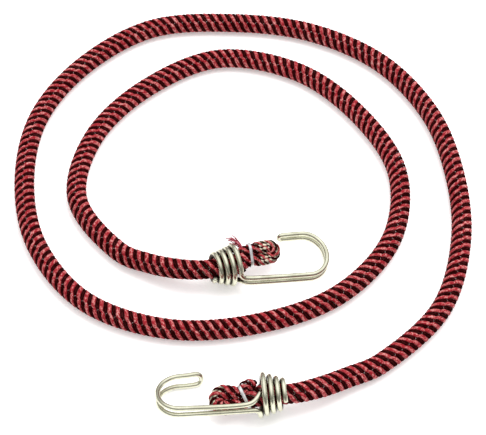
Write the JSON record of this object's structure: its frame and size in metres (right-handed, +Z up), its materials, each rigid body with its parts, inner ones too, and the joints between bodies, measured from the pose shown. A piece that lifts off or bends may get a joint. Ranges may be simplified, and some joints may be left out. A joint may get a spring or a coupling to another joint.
{
  "type": "bungee cord",
  "caption": "Stretchy braided cord laid in a loose double loop, with a bent wire hook swivelling in a cone at each folded and clipped end.",
  "frame": {"origin": "middle of the whole part's bounding box, on the floor that the cord lies on", "axes": "+Z up from the floor, +Y along the loops' longest extent, away from hook A, +X to the right with hook A nearest"},
  "size_m": [0.2124, 0.2408, 0.0198],
  "materials": {
    "sheath": "woven polyester braid, red and black yarns in slanting bands",
    "strand": "plain natural rubber",
    "ring": "bright bare metal band, crimped",
    "wire": "bright nickel-plated spring-steel wire"
  },
  "bodies": {
    "cord": {"braided_sheath": "sheath", "rubber_strand_01": "strand", "rubber_strand_02": "strand", "rubber_strand_03": "strand", "rubber_strand_04": "strand", "rubber_strand_05": "strand", "rubber_strand_06": "strand", "rubber_strand_07": "strand", "rubber_strand_08": "strand", "rubber_strand_09": "strand", "rubber_strand_10": "strand", "rubber_strand_11": "strand", "rubber_strand_12": "strand", "clip_ring_a": "ring", "clip_ring_b": "ring"},
    "hook_a": {"hook_a": "wire"},
    "hook_b": {"hook_b": "wire"}
  },
  "joints": [
    {"name": "hook_a_swivel", "type": "hinge", "parent": "cord", "child": "hook_a", "pos_m": [0.008, -0.1076, 0.01015], "axis": [-0.999, -0.0262, -0.0349], "continuous": true},
    {"name": "hook_b_swivel", "type": "hinge", "parent": "cord", "child": "hook_b", "pos_m": [-0.0024, -0.0384, 0.00952], "axis": [0.9541, 0.2736, -0.1219], "continuous": true}
  ]
}
